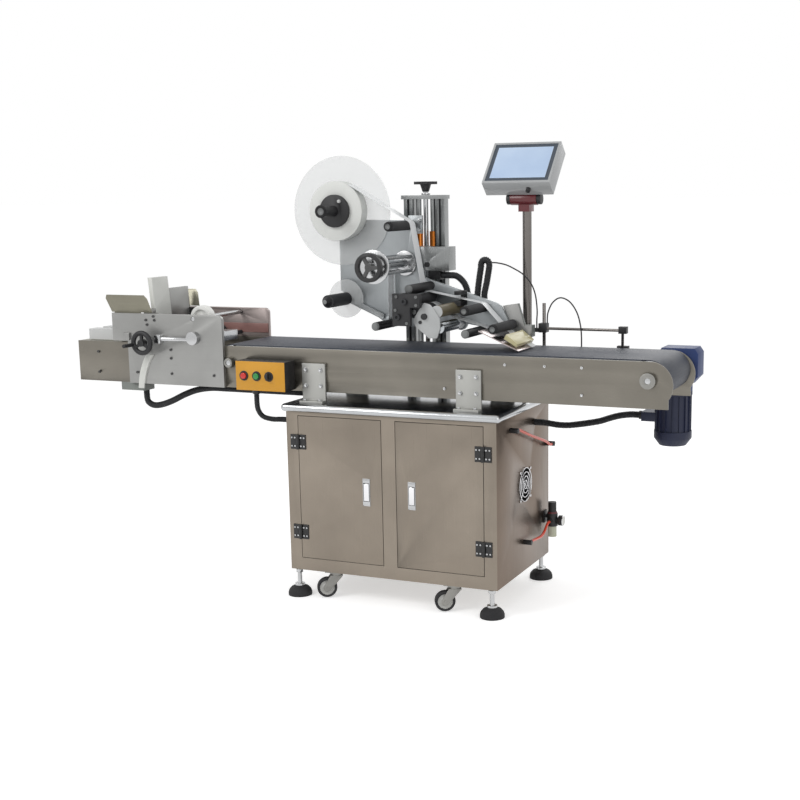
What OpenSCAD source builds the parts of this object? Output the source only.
// Flat surface labelling machine: friction feeder, belt conveyor, label head and control cabinet.
// Millimetres, +Z up, +X along the belt's travel, and the operator stands on the -Y side.
// The origin is on the floor, below the middle of the machine's outline.

/* [Cabinet] */
// Width of the cabinet along the belt
cab_w = 800; // [760:1:860]
// Depth of the cabinet
cab_d = 530; // [510:1:580]
// Height of the cabinet's floor above the ground
cab_z = 98; // [92:1:120]
// Height of the cabinet body
cab_h = 578; // [560:1:620]
// Middle of the cabinet, measured along the belt from the origin
cab_x = 167; // [120:1:200]
// Middle of the cabinet, measured across the belt from the origin
cab_y = 12; // [0:1:20]
// Thickness of the cabinet's sheet steel
sheet = 2; // [1.5:0.1:3]
// Height of each door
door_h = 516; // [480:1:530]
// Depth of the doors' folded edge
door_depth = 18; // [14:1:24]
// Gap round each door
door_gap = 2; // [1.5:0.1:3]
// Width of the frame beside the doors
stile_w = 46; // [36:1:60]
// Width of the post between the doors
post_w = 48; // [40:1:60]

/* [Table top] */
// Thickness of the table top
table_t = 28; // [24:1:34]
// How far the table top stands out past the cabinet
table_over = 16; // [15:1:24]

/* [Feet and casters] */
// Radius of a levelling foot's rubber pad
pad_r = 43; // [34:1:45]
// Radius of the levelling screws
foot_screw_r = 8; // [5:0.5:9]
// How far the levelling feet screw out
foot_travel = 20; // [10:1:22]
// Radius of the caster wheels
wheel_r = 36; // [34:0.5:38]
// Width of the caster wheels
wheel_w = 26; // [22:1:30]
// Clearance between the caster wheels and the floor when the machine stands on its feet
wheel_lift = 2; // [1:0.5:4]
// How far a front caster's axle trails behind its swivel
caster_trail = 35; // [25:1:40]
// Turn of the front casters about their swivels
caster_turn = 60; // [0:5:90]

/* [Conveyor] */
// Length of the conveyor's side rails
rail_len = 2314; // [2250:1:2400]
// Height of the side rails
rail_h = 152; // [146:1:160]
// Thickness of the side rails
rail_t = 6; // [4:0.5:8]
// Width over the two side rails
conv_w = 314; // [300:1:340]
// Middle of the belt, measured across the belt from the origin
conv_y = -45; // [-55:1:-35]
// Height of the belt's upper face above the floor
belt_z = 898; // [880:1:930]
// How far the belt stands above the rails
belt_above = 4; // [3:0.5:8]
// Thickness of the belt
belt_t = 3; // [2:0.5:4]
// Width of the belt
belt_w = 288; // [250:1:290]
// Radius of the drive and tail rollers
roller_r = 62; // [58:1:64]
// Distance from the rails' right end to the drive roller's axis
drive_inset = 80; // [78:1:90]
// Tail roller's axis, measured along the belt from the origin
tail_x = -490; // [-520:1:-470]
// Radius of the rollers' shafts
shaft_r = 12.5; // [10:0.5:15]

/* [Feeder] */
// Length of the feeder's side plates
feeder_len = 483; // [460:1:500]
// Distance from the rails' left end to the feeder's side plates
feeder_inset = 175; // [160:1:190]
// Thickness of the feeder's side plates
feeder_t = 14; // [10:1:18]
// Height of the feeder's side plates above the belt
feeder_rise = 106; // [95:1:115]
// Radius of the feeder's hand wheel
hand_r = 46; // [40:1:50]
// How far the feeder's gate moves up
gate_travel = 40; // [20:1:60]
// Radius of the pinion that lifts the gate
pinion_r = 16; // [14:0.5:18]

/* [Control box] */
// Length of the push-button box
box_w = 200; // [190:1:220]
// Height of the push-button box
box_h = 104; // [90:1:110]
// Depth of the push-button box
box_d = 72; // [60:1:80]
// Travel of the push-buttons
button_travel = 5; // [3:0.5:6]

/* [Label head] */
// Width of the head plate along the belt
plate_w = 696; // [680:1:720]
// Height of the head plate
plate_h = 427; // [420:1:440]
// Thickness of the head plate
plate_t = 10; // [8:1:14]
// Left edge of the head plate, measured along the belt from the origin
plate_x = -155; // [-165:1:-145]
// Height of the head plate's lowest point above the belt
plate_rise = 14; // [12:1:30]
// Front face of the head plate, measured across the belt from the origin
plate_y = 42; // [38:1:46]
// Length of the label rollers in front of the plate
guide_len = 190; // [170:1:200]
// Width of the label web
label_w = 46; // [30:1:60]
// Radius of the full label roll
roll_r = 106; // [60:1:125]
// Radius of the label roll's clear disc
disc_r = 195; // [150:1:200]
// Radius of the rollers that guide the web
guide_r = 17; // [15:0.5:18]
// Radius of the driven label roller
feed_r = 22; // [20:0.5:24]
// Height of the peel tip above the belt
tip_rise = 6; // [4:1:12]
// How far the head can be raised
lift_travel = 110; // [60:5:130]
// Lead of the lifting screw
lift_lead = 10; // [5:1:12]

/* [Lift and screen] */
// Height of the top plate of the lift above the floor
lift_top_z = 1422; // [1400:1:1450]
// Width over the lift's two columns
lift_w = 160; // [150:1:190]
// Depth and width of a column
column = 36; // [30:1:42]
// Radius of the lift's hand wheel
lift_hand_r = 42; // [35:1:50]
// Radius of the screen's post
post_r = 16; // [14:0.5:20]
// Width of the screen housing
screen_w = 248; // [220:1:260]
// Height of the screen housing
screen_h = 190; // [160:1:200]
// Depth of the screen housing
screen_d = 62; // [45:1:70]
// Lean of the screen from upright
screen_lean = 43; // [20:1:50]

/* [Drive and services] */
// Radius of the drive motor
motor_r = 65; // [55:1:70]
// Length of the drive motor
motor_h = 190; // [170:1:210]
// Radius of the black cable conduits
conduit_r = 12; // [9:0.5:13]
// Radius of the red air tubes
tube_r = 5; // [3:0.5:6]
// Radius of the cooling fan
fan_r = 60; // [50:1:62]

/* [Hidden] */
$fn = 48;

// Fits and cutting
run_fit = 0.05;
side_gap = 0.5;
near_gap = 0.4;
cut = 1;
rib_h = 2;
tube_wall = 2;

// Colours
steel = [0.62, 0.60, 0.56];
bright = [0.80, 0.80, 0.82];
alu = [0.72, 0.74, 0.75];
black = [0.07, 0.07, 0.08];
white = [0.92, 0.92, 0.90];
navy = [0.05, 0.16, 0.40];
// Cabinet faces
cab_left = cab_x - cab_w / 2;
cab_right = cab_x + cab_w / 2;
cab_front = cab_y - cab_d / 2;
cab_back = cab_y + cab_d / 2;
cab_top = cab_z + cab_h;
table_top_z = cab_top + table_t;

// Doors: the hinge line stands on the front face, at each door's outer edge
door_rise_share = 0.0813;
door_z = cab_z + door_rise_share * cab_h;
door_w = (cab_w - 2 * stile_w - post_w - 4 * door_gap) / 2;
frame_depth = 22;
hinge_r = 6;
hinge_pin_r = 3;
hinge_h = 53;
hinge_leaf_w = 30;
hinge_t = 4;
hinge_share = [0.185, 0.82];
left_hinge_x = cab_left + stile_w + door_gap / 2;
right_hinge_x = cab_right - stile_w - door_gap / 2;
hinge_y = cab_front - hinge_r;

// Latches: a flush plate with a paddle that swings out from its top end
latch_w = 28;
latch_h = 98;
latch_t = 3;
latch_gap = 46;
latch_rise_share = 0.503;
latch_z = door_z + latch_rise_share * door_h;
paddle_w = 20;
paddle_h = 62;
paddle_t = 5;
paddle_wall = 2;
latch_cup = 14;
left_latch_x = left_hinge_x + door_w - latch_gap - latch_w / 2;
right_latch_x = right_hinge_x - door_w + latch_gap + latch_w / 2;
paddle_pivot_z = latch_z + paddle_h / 2 - paddle_t / 2;
paddle_pivot_y = cab_front - latch_t / 2;

// Feet and casters
foot_in_x = 25;
foot_in_y = 14;
foot_boss_wall = 5;
foot_boss_r = foot_screw_r + foot_boss_wall;
foot_boss_h = 24;
pad_h = 36;
foot_nut_r = 14;
foot_nut_h = 12;
foot_nut_z = cab_z - foot_nut_h - sheet;
foot_screw_top = cab_z + foot_boss_h + foot_travel;
foot_xs = [cab_left + foot_in_x, cab_right - foot_in_x];
foot_ys = [cab_front + foot_in_y, cab_back - foot_in_y];
axle_z = wheel_r + wheel_lift;
axle_r = 5;
hub_r = 14;
fork_t = 3;
fork_in = wheel_w / 2 + side_gap;
caster_plate_t = 4;
caster_plate = 62;
race_r = 22;
race_h = 10;
king_r = 6;
caster_shares = [-0.29375, 0.285];
caster_left_x = cab_x + caster_shares[0] * cab_w;
caster_right_x = cab_x + caster_shares[1] * cab_w;
caster_in_front = 35;
caster_in_rear = 45;
caster_front_y = cab_front + caster_in_front;
caster_rear_y = cab_back - caster_in_rear;
fork_top = cab_z - caster_plate_t - race_h - side_gap;

// Conveyor
conv_shift = 10;
rail_left = -rail_len / 2 - conv_shift;
rail_right = rail_left + rail_len;
rail_top = belt_z - belt_above;
rail_z = rail_top - rail_h;
rail_front = conv_y - conv_w / 2;
rail_back = conv_y + conv_w / 2;
drive_x = rail_right - drive_inset;
axis_z = belt_z - belt_t - roller_r;
inner_w = conv_w - 2 * rail_t;
bearing_r = 26;
bearing_h = 14;
slot_len = 30;
bed_t = 4;
bed_in = 4;
bed_lip = 20;
bed_w = belt_w - 2 * bed_in;
bed_z = belt_z - belt_t - bed_t;
bed_end = 24;
bed_left = tail_x + bed_end;
bed_right = drive_x - bed_end;
cross_h = 36;
cross_w = 50;
cross_share = [0.08, 0.36, 0.64, 0.92];
bracket_w = 92;
bracket_t = 10;
bracket_foot = 26;
bracket_up = 102;
bracket_shares = [-0.38375, 0.355];
bracket_xs = [for (s = bracket_shares) cab_x + s * cab_w];
screw_r = 5;
big_screw_r = 7;

// Feeder
fd_left = rail_left + feeder_inset;
fd_right = fd_left + feeder_len;
fd_step = 66;
fd_low_left = fd_left + fd_step;
fd_top = belt_z + feeder_rise;
fd_low = rail_z;
fd_front = rail_front - feeder_t;
fd_back = rail_back + feeder_t;
fd_round = 18;
fd_above = 2;
fd_tail_r = 30;
fd_shaft_r = 8;
fd_belt_t = 3;
fd_belt_w = 40;
fd_belt_rise = 45;
fd_belt_top = belt_z + fd_belt_rise;
fd_belt_gap = 30;
fd_axis_z = fd_belt_top - fd_belt_t - fd_tail_r;
fd_axis_in = 60;
fd_belt_end = 200;
fd_axis_xs = [fd_left + fd_axis_in, fd_right - fd_belt_end];
hand_in = 163;
hand_x = fd_left + hand_in;
hand_z = belt_z + fd_above;
hand_shaft_r = 5.5;
hand_rim = 9;
hand_out = 46;
hand_y = fd_front - hand_out;
gate_in = 131;
gate_x = fd_left + gate_in;
gate_t = 16;
gate_gap = 26;
gate_top = belt_z + 2.2 * feeder_rise;
rack_w = 12;
rack_gap = 1.2;
rack_x = hand_x - pinion_r - rack_w - rack_gap;
rack_y = rail_front + rail_t + near_gap;
rack_d = 14;
press_r = 45;
press_w = 32;
press_in = 124;
press_x = fd_right - press_in;
press_off = 55;
press_y = rail_front + press_off;
press_z = fd_belt_top + press_r + near_gap;

// Control box
box_off = 88;
box_up = 5;
box_x = fd_right + box_off;
box_z = rail_z + box_up;
box_front = rail_front - box_d;
box_mid = box_z + box_h / 2;
button_r = 11;
button_h = 9;
button_share = [0.17, 0.43, 0.68];

// Label head: places on the plate are shares of its width and height
plate_z = belt_z + plate_rise;
function on_plate(s) = [plate_x + s[0] * plate_w, plate_z + s[1] * plate_h];
plate_shares = [
  [0, 0.40], [0, 1], [0.42, 0.99], [0.465, 0.65], [0.487, 0.52], [0.882, 0.318], [0.904, 0.295],
  [0.95, 0.148], [1, 0], [0.965, 0], [0.83, 0.115], [0.68, 0.15], [0.60, 0.15], [0.48, 0.09],
  [0.25, 0.14]
];
side_shares = [
  [0.608, 0.348], [0.576, 0.283], [0.551, 0.218], [0.551, 0.183], [0.562, 0.155], [0.632, 0.065],
  [0.674, 0.067], [0.691, 0.148], [0.691, 0.223], [0.661, 0.297], [0.635, 0.337]
];
clamp_shares = [
  [0.4526, 0.1639], [0.5474, 0.1639], [0.5474, 0.3115], [0.5991, 0.3115], [0.5991, 0.4215],
  [0.4526, 0.4215]
];
spindle_at = on_plate([0.02, 1.073]);
upper_at = on_plate([0.417, 0.951]);
turn_at = on_plate([0.52, 0.454]);
outfeed_at = on_plate([0.8175, 0.286]);
peel_at = on_plate([0.965, 0.15]);
below_at = on_plate([0.819, 0.105]);
silver_at = on_plate([0.6825, 0.150]);
feed_at = on_plate([0.55, 0.272]);
lower_at = on_plate([0.333, 0.145]);
dancer_at = on_plate([0.038, 0.332]);
dancer_pivot_at = on_plate([0.24, 0.19]);
rewind_at = on_plate([0.378, 0.637]);
drum_at = on_plate([0.6724, 0.2787]);
pinch_r = 18;
web_t = 0.4;
web_gap = near_gap;
nip = feed_r + pinch_r + web_t + 2 * near_gap;
pinch_lean = 110;
pinch_at = feed_at + nip * [cos(pinch_lean), sin(pinch_lean)];
tip_share = 1.088;
tip_at = [plate_x + tip_share * plate_w, belt_z + tip_rise];
web_in = 6;
web_y = plate_y - web_in - label_w;
guide_front = plate_y - guide_len;
plate_back = plate_y + plate_t;
bar_in = 2;
bar_r = guide_r - bar_in;
cap_t = 6;
axle_pin_r = 5;
dancer_r = 23;
spool_r = 44;
rod_r = 6;
rewind_len = 300;
silver_r = 19;
fixed_drum_r = 21;
tip_r = 1.5;
blade_t = 4;
blade_len = 157;
blade_w = 172;
blade_slope = 24;
blade_y = plate_y - web_in - blade_w;

// Lift
lift_off = 17;
lift_x = cab_x - lift_off;
lift_gap = 6;
lift_y = rail_back + lift_gap + column / 2;
lift_plate_t = 14;
lift_screw_r = 9;
guide_rod_r = 10;
guide_rod_in = 28;
bush_wall = 4;
bush_h = 52;
carriage_rise_share = 0.575;
carriage_z = plate_z + carriage_rise_share * plate_h;
carriage_h = 84;
carriage_left = 30;
carriage_right = 123;
lift_knob_up = 38;
lift_knob_z = lift_top_z + lift_knob_up;
lift_cross_z = rail_z + rail_h / 2;
lift_cross_h = 20;

// Screen
post_in_x = 36;
post_in_y = 125;
post_x = cab_right - post_in_x;
post_y = cab_back - post_in_y;
post_h = 667;
post_top = table_top_z + post_h;
pivot_up = 34;
pivot_out = 24;
screen_off = 10;
screen_x = post_x - screen_off;
screen_pivot_z = post_top + pivot_up;
screen_y = post_y - pivot_out;
screen_back = 26;
screen_drop = 6;
pivot_r = 8;
drum_r = 22;
drum_len = 96;

// Sensor stand on the rear rail
stand_in = 545;
arm_len = 298;
stand_x = rail_right - stand_in;
stand_y = rail_back - rail_t / 2;
stand_h = 150;
stand_r = 6;
arm_up = 62;
arm_z = rail_top + arm_up;
arm_end_x = stand_x + arm_len;

// Drive unit
gear_gap = 22;
gear_y = rail_back + gear_gap;
gear_d = 90;
gear_w = 138;
gear_h = 127;
gear_off = 56;
gear_left = drive_x - gear_off;
gear_low = 60;
gear_z = axis_z - gear_low;
motor_off = 11;
motor_x = drive_x - motor_off;
motor_y = gear_y + gear_d / 2;
flange_h = 24;
motor_top = gear_z - flange_h;

// Air and fan
fan_y_off = 10;
fan_y = cab_y + fan_y_off;
fan_z_share = 0.54;
fan_z = cab_z + fan_z_share * cab_h;
reg_out = 30;
reg_in = 44;
reg_rise_share = 0.2388;
reg_x = cab_right + reg_out;
reg_y = cab_back - reg_in;
reg_z = cab_z + reg_rise_share * cab_h;

// Boxes and bars between stated faces
module block(x0, x1, y0, y1, z0, z1) {
  translate([x0, y0, z0])
    cube([x1 - x0, y1 - y0, z1 - z0]);
}

module bar_x(x0, x1, y, z, r) {
  translate([x0, y, z])
    rotate([0, 90, 0])
      cylinder(r = r, h = x1 - x0);
}

module bar_y(at, y0, y1, r) {
  translate([at[0], y0, at[1]])
    rotate([-90, 0, 0])
      cylinder(r = r, h = y1 - y0);
}

module bar_z(x, y, z0, z1, r) {
  translate([x, y, z0])
    cylinder(r = r, h = z1 - z0);
}

// An outline in the XZ plane, given thickness from y0 to y1
module upright(y0, y1) {
  translate([0, y1, 0])
    rotate([90, 0, 0])
      linear_extrude(y1 - y0)
        children();
}

// Smooth curve through hand-chosen points, with a straight first and last piece
function curve_point(p, i, t) =
  (i == 0 || i == len(p) - 2) ? p[i] + t * (p[i + 1] - p[i]) :
  let (a = p[i - 1], b = p[i], c = p[i + 1], d = p[i + 2])
  0.5 * (2 * b + (c - a) * t + (2 * a - 5 * b + 4 * c - d) * t * t
    + (3 * b - a - 3 * c + d) * t * t * t);

function curve(p, steps) = concat(
  [for (i = [0 : len(p) - 2]) for (k = [0 : steps - 1]) curve_point(p, i, k / steps)],
  [p[len(p) - 1]]);

function unit(v) = v / norm(v);

function heading(p, i) = unit(p[min(i + 1, len(p) - 1)] - p[max(i - 1, 0)]);

// A ring of eight points round the route
function ring(p, i, r, ref) =
  let (t = heading(p, i), u = unit(cross(ref, t)), v = cross(t, u))
  [for (a = [0 : 45 : 315]) p[i] + r * (cos(a) * u - sin(a) * v)];

// Triangles between the ring of points that starts at a and the one that starts at b
function band(a, b) =
  [for (k = [0 : 7]) each let (m = (k + 1) % 8) [[a + k, a + m, b + m], [a + k, b + m, b + k]]];

module swept_tube(route, r, ref = [0, 1, 0]) {
  p = curve(route, 2);
  end = 8 * (len(p) - 1);
  polyhedron([for (i = [0 : len(p) - 1]) each ring(p, i, r, ref)], concat(
    [for (a = [0 : 8 : end - 8]) each band(a, a + 8)],
    [for (k = [1 : 6]) [0, k + 1, k]],
    [for (k = [1 : 6]) [end, end + k, end + k + 1]]), convexity = 10);
}

// A corrugated conduit: its rings stand out and draw in by turns, and its bore is smooth
module ribbed_tube(route, r, steps) {
  p = curve(route, steps);
  n = len(p);
  low = r - rib_h;
  bore = low - tube_wall;
  inside = [for (i = [0 : steps : n - 1]) i];
  last = 8 * (n + len(inside) - 1);
  polyhedron(
    concat(
      [for (i = [0 : n - 1]) each ring(p, i, (i % 2 == 0 || i == n - 1) ? low : r, [0, 1, 0])],
      [for (i = inside) each ring(p, i, bore, [0, 1, 0])]),
    concat(
      [for (a = [0 : 8 : 8 * n - 16]) each band(a, a + 8)],
      [for (a = [8 * n : 8 : last - 8]) each band(a + 8, a)],
      band(8 * n, 0),
      band(8 * (n - 1), last)),
    convexity = 10);
}

// Cabinet: folded sheet body, door frame with return edges, floor, screw bosses for the feet
module door_hole(x0) {
  block(x0 - door_gap / 2, x0 + door_w + door_gap / 2, cab_front - cut, cab_front + frame_depth + cut,
    door_z - door_gap, door_z + door_h + door_gap);
}

module cabinet_shell() {
  motor_end = motor_route[len(motor_route) - 1];
  box_end = box_route[len(box_route) - 1];
  color(steel)
    difference() {
      union() {
        difference() {
          block(cab_left, cab_right, cab_front, cab_back, cab_z, cab_top);
          block(cab_left + sheet, cab_right - sheet, cab_front + sheet, cab_back - sheet,
            cab_z + sheet, cab_top - sheet);
        }
        for (x = [left_hinge_x, right_hinge_x - door_w])
          block(x - door_gap / 2 - sheet, x + door_w + door_gap / 2 + sheet, cab_front,
            cab_front + frame_depth, door_z - door_gap - sheet,
            door_z + door_h + door_gap + sheet);
        for (x = foot_xs)
          for (y = foot_ys)
            bar_z(x, y, cab_z, cab_z + foot_boss_h, foot_boss_r);
      }
      for (x = [left_hinge_x, right_hinge_x - door_w])
        door_hole(x);
      for (x = foot_xs)
        for (y = foot_ys)
          bar_z(x, y, cab_z - cut, cab_z + foot_boss_h + cut, foot_screw_r + run_fit);
      bar_x(cab_right - sheet - cut, cab_right + cut, fan_y, fan_z, fan_r);
      bar_x(cab_right - sheet - cut, cab_right + cut, motor_end[1], motor_end[2], conduit_r - rib_h);
      bar_x(cab_left - cut, cab_left + sheet + cut, box_end[1], box_end[2], conduit_r - 2 * rib_h);
    }
}

module table_top() {
  nose = table_t / 2;
  x0 = cab_left - table_over + nose;
  x1 = cab_right + table_over - nose;
  y0 = cab_front - table_over + nose;
  y1 = cab_back + table_over - nose;
  mid = cab_top + nose;
  color(bright) {
    block(x0, x1, y0, y1, cab_top, table_top_z);
    for (y = [y0, y1])
      bar_x(x0, x1, y, mid, nose);
    for (x = [x0, x1])
      bar_y([x, mid], y0, y1, nose);
    for (x = [x0, x1])
      for (y = [y0, y1])
        translate([x, y, mid])
          sphere(r = nose);
  }
}

// Door hinges: this half has the two outer knuckles and the pin
module fixed_leaf(x, side) {
  for (s = hinge_share) {
    z = door_z + s * door_h - hinge_h / 2;
    third = hinge_h / 3;
    difference() {
      union() {
        block(min(x, x - side * hinge_leaf_w), max(x, x - side * hinge_leaf_w),
          cab_front - hinge_t, cab_front, z, z + hinge_h);
        bar_z(x, hinge_y, z, z + hinge_h, hinge_r);
      }
      bar_z(x, hinge_y, z + third - side_gap, z + 2 * third + side_gap, hinge_r + side_gap);
      block(min(x, x - side * (hinge_r + side_gap)), max(x, x - side * (hinge_r + side_gap)),
        hinge_y - hinge_r, cab_front + cut, z + third - side_gap, z + 2 * third + side_gap);
    }
    bar_z(x, hinge_y, z, z + hinge_h, hinge_pin_r);
  }
}

module hinge_leaves() {
  color(black) {
    fixed_leaf(left_hinge_x, 1);
    fixed_leaf(right_hinge_x, -1);
  }
}

// The leaf on the door has the middle knuckle, bored for the pin
module door_leaf(x, side) {
  for (s = hinge_share) {
    z = door_z + s * door_h - hinge_h / 2;
    third = hinge_h / 3;
    difference() {
      union() {
        block(min(x + side * (hinge_r + side_gap), x + side * hinge_leaf_w),
          max(x + side * (hinge_r + side_gap), x + side * hinge_leaf_w),
          cab_front - hinge_t, cab_front, z, z + hinge_h);
        block(min(x, x + side * hinge_leaf_w), max(x, x + side * hinge_leaf_w),
          cab_front - hinge_t, cab_front, z + third, z + 2 * third);
        bar_z(x, hinge_y, z + third, z + 2 * third, hinge_r);
      }
      bar_z(x, hinge_y, z, z + hinge_h, hinge_pin_r + run_fit);
    }
  }
}

module door(hinge_x, side, latch_x) {
  x0 = (side > 0) ? hinge_x + door_gap / 2 : hinge_x - door_w + door_gap / 2;
  x1 = (side > 0) ? hinge_x + door_w - door_gap / 2 : hinge_x - door_gap / 2;
  color(steel)
    difference() {
      union() {
        block(x0, x1, cab_front, cab_front + door_depth, door_z, door_z + door_h);
        block(latch_x - latch_w / 2, latch_x + latch_w / 2, cab_front - latch_t, cab_front,
          latch_z - latch_h / 2, latch_z + latch_h / 2);
      }
      difference() {
        block(x0 + sheet, x1 - sheet, cab_front + sheet, cab_front + door_depth + cut,
          door_z + sheet, door_z + door_h - sheet);
        block(latch_x - latch_w / 2, latch_x + latch_w / 2, cab_front, cab_front + latch_cup + sheet,
          latch_z - latch_h / 2, latch_z + latch_h / 2);
      }
      block(latch_x - paddle_w / 2 - paddle_wall, latch_x + paddle_w / 2 + paddle_wall,
        cab_front - latch_t - cut, cab_front + latch_cup,
        latch_z - paddle_h / 2 - paddle_wall, latch_z + paddle_h / 2 + paddle_wall);
    }
  color(bright)
    bar_x(latch_x - latch_w / 2, latch_x + latch_w / 2,
      paddle_pivot_y, paddle_pivot_z, paddle_t / 5);
  color(black)
    door_leaf(hinge_x, side);
}

module left_door() { door(left_hinge_x, 1, left_latch_x); }
module right_door() { door(right_hinge_x, -1, right_latch_x); }

module latch(x) {
  color(bright)
    difference() {
      union() {
        bar_x(x - paddle_w / 2, x + paddle_w / 2, paddle_pivot_y, paddle_pivot_z, paddle_t / 2);
        block(x - paddle_w / 2, x + paddle_w / 2, paddle_pivot_y - paddle_t / 2,
          paddle_pivot_y + paddle_t / 2, latch_z - paddle_h / 2, paddle_pivot_z);
      }
      bar_x(x - paddle_w, x + paddle_w, paddle_pivot_y, paddle_pivot_z, paddle_t / 5 + run_fit);
    }
}

module left_latch() { latch(left_latch_x); }
module right_latch() { latch(right_latch_x); }

// Levelling feet: domed rubber pad, threaded stem with its flange and lock nut
module levelling_feet() {
  for (x = foot_xs)
    for (y = foot_ys) {
      color(black)
        translate([x, y, 0])
          rotate_extrude()
            polygon([[0, 0], [pad_r, 0], [pad_r, pad_h * 0.3], [pad_r * 0.93, pad_h * 0.55],
              [pad_r * 0.75, pad_h * 0.8], [pad_r * 0.42, pad_h], [0, pad_h]]);
      color(bright) {
        bar_z(x, y, pad_h, foot_screw_top, foot_screw_r);
        bar_z(x, y, pad_h, pad_h * 1.2, pad_r * 0.42);
        translate([x, y, foot_nut_z])
          cylinder(r = foot_nut_r, h = foot_nut_h, $fn = 6);
      }
    }
}

// Casters: the two at the front swivel, the two at the back are rigid
module caster_mount(x, y) {
  block(x - caster_plate / 2, x + caster_plate / 2, y - caster_plate / 2, y + caster_plate / 2,
    cab_z - caster_plate_t, cab_z);
}

module fork(trail, top) {
  bar_z(0, 0, top - fork_t, top, race_r);
  for (x0 = [fork_in, -fork_in - fork_t])
    translate([x0, 0, 0])
      rotate([90, 0, 90])
        linear_extrude(fork_t)
          hull() {
            translate([-trail, axle_z])
              circle(r = hub_r, $fn = 32);
            translate([-race_r, top - fork_t])
              square([2 * race_r, fork_t]);
          }
  block(-fork_in - fork_t, fork_in + fork_t, -race_r, race_r, top - fork_t, top);
  bar_x(-fork_in - 2 * fork_t, fork_in + 2 * fork_t, -trail, axle_z, axle_r);
}

module caster_brackets() {
  low = cab_z - caster_plate_t - race_h;
  color(steel)
    for (x = [caster_left_x, caster_right_x]) {
      caster_mount(x, caster_front_y);
      difference() {
        bar_z(x, caster_front_y, low, cab_z - caster_plate_t, race_r);
        bar_z(x, caster_front_y, low - cut, cab_z, king_r + run_fit);
      }
      caster_mount(x, caster_rear_y);
      translate([x, caster_rear_y, 0])
        fork(0, cab_z - caster_plate_t);
    }
}

module swivel_fork(x) {
  color(steel)
    translate([x, caster_front_y, 0])
      rotate([0, 0, -caster_turn]) {
        fork(caster_trail, fork_top);
        bar_z(0, 0, fork_top, cab_z - caster_plate_t - side_gap, king_r);
      }
}

module left_caster_fork() { swivel_fork(caster_left_x); }
module right_caster_fork() { swivel_fork(caster_right_x); }

module caster_wheel(x, y, turn, trail) {
  bore = axle_r + run_fit;
  rim = wheel_r * 0.76;
  dish = wheel_w * 0.12;
  color(black)
    translate([x, y, axle_z])
      rotate([0, 0, -turn])
        translate([-wheel_w / 2, -trail, 0])
          rotate([0, 90, 0])
            rotate_extrude()
              polygon([[bore, 0], [hub_r, 0], [hub_r + dish, dish], [rim - dish, dish],
                [rim, 0], [wheel_r - dish, 0], [wheel_r, dish],
                [wheel_r, wheel_w - dish], [wheel_r - dish, wheel_w], [rim, wheel_w],
                [rim - dish, wheel_w - dish], [hub_r + dish, wheel_w - dish],
                [hub_r, wheel_w], [bore, wheel_w]]);
}

module left_caster_wheel() {
  caster_wheel(caster_left_x, caster_front_y, caster_turn, caster_trail);
}
module right_caster_wheel() {
  caster_wheel(caster_right_x, caster_front_y, caster_turn, caster_trail);
}
module rear_caster_wheels() {
  for (x = [caster_left_x, caster_right_x])
    caster_wheel(x, caster_rear_y, 0, 0);
}

// Cooling fan: wire guard outside the panel, housing and spider inside, rotor on the spider's pin
fan_depth = 26;
fan_wall = 6;
fan_half = fan_r + fan_wall;
fan_x = cab_right - sheet;
fan_back = fan_x - fan_depth;
fan_wire = 1.5;
fan_hub_r = 19;
fan_pin_r = 4;
spider_t = 3;
rotor_h = 18;
blades = 7;
blade_pitch = 38;
module fan_guard() {
  color(bright)
    translate([cab_right, fan_y, fan_z]) {
      for (k = [1 : 4])
        translate([2 * fan_wire, 0, 0])
          rotate([0, 90, 0])
            rotate_extrude()
              translate([fan_r * k / 4, -fan_wire / 2])
                square([2 * fan_wire, fan_wire]);
      for (a = [45, 135])
        translate([2 * fan_wire, 0, 0])
          rotate([a, 0, 0])
            translate([-fan_wire, -fan_wire, -fan_r * 1.2])
              cube([2 * fan_wire, 2 * fan_wire, fan_r * 2.4]);
      for (a = [45, 135, 225, 315])
        rotate([a, 0, 0])
          translate([0, 0, fan_r * 1.2])
            rotate([0, 90, 0])
              cylinder(r = screw_r, h = screw_r);
    }
  color(black) {
    difference() {
      block(fan_back, fan_x, fan_y - fan_half, fan_y + fan_half, fan_z - fan_half, fan_z + fan_half);
      bar_x(fan_back - cut, fan_x + cut, fan_y, fan_z, fan_r);
    }
    block(fan_back, fan_back + spider_t, fan_y - fan_r - cut, fan_y + fan_r + cut,
      fan_z - fan_pin_r, fan_z + fan_pin_r);
    block(fan_back, fan_back + spider_t, fan_y - fan_pin_r, fan_y + fan_pin_r,
      fan_z - fan_r - cut, fan_z + fan_r + cut);
    bar_x(fan_back, fan_back + spider_t + rotor_h, fan_y, fan_z, fan_pin_r);
  }
}

module fan_rotor() {
  x0 = fan_back + spider_t + side_gap;
  color(black)
    difference() {
      union() {
        bar_x(x0, x0 + rotor_h, fan_y, fan_z, fan_hub_r);
        for (k = [0 : blades - 1])
          translate([x0 + rotor_h / 2, fan_y, fan_z])
            rotate([k * 360 / blades, 0, 0])
              rotate([0, 0, blade_pitch])
                translate([-rotor_h / 2, -sheet / 2, fan_hub_r * 0.85])
                  cube([rotor_h, sheet, fan_r - fan_hub_r]);
      }
      bar_x(x0 - cut, x0 + rotor_h + cut, fan_y, fan_z, fan_pin_r + run_fit);
    }
}

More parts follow.
